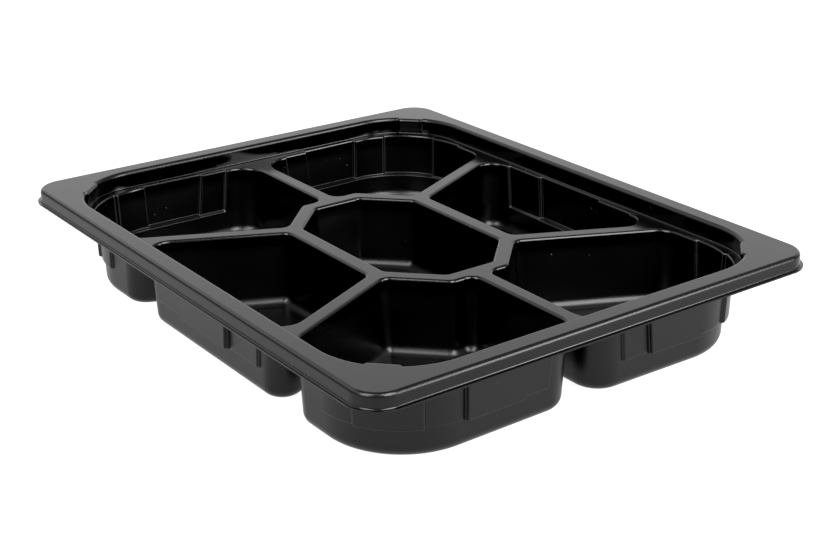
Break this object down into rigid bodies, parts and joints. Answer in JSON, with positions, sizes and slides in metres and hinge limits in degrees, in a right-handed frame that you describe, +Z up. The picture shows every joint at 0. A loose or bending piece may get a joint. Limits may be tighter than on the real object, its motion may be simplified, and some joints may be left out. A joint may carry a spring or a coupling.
{
  "type": "compartment food tray",
  "caption": "Shallow rectangular food tray of one thermoformed plastic sheet, with a turned-down rim and an octagonal pocket ringed by tapering and corner pockets.",
  "frame": {"origin": "middle of the underside, at the level of the pocket floors' outer faces", "axes": "+X along the long side, +Y along the short side, +Z up out of the pockets"},
  "size_m": [0.325, 0.265, 0.0485],
  "materials": {
    "black_plastic": "semi-gloss, as formed"
  },
  "bodies": {
    "root": {"tray": "black_plastic"}
  },
  "joints": []
}
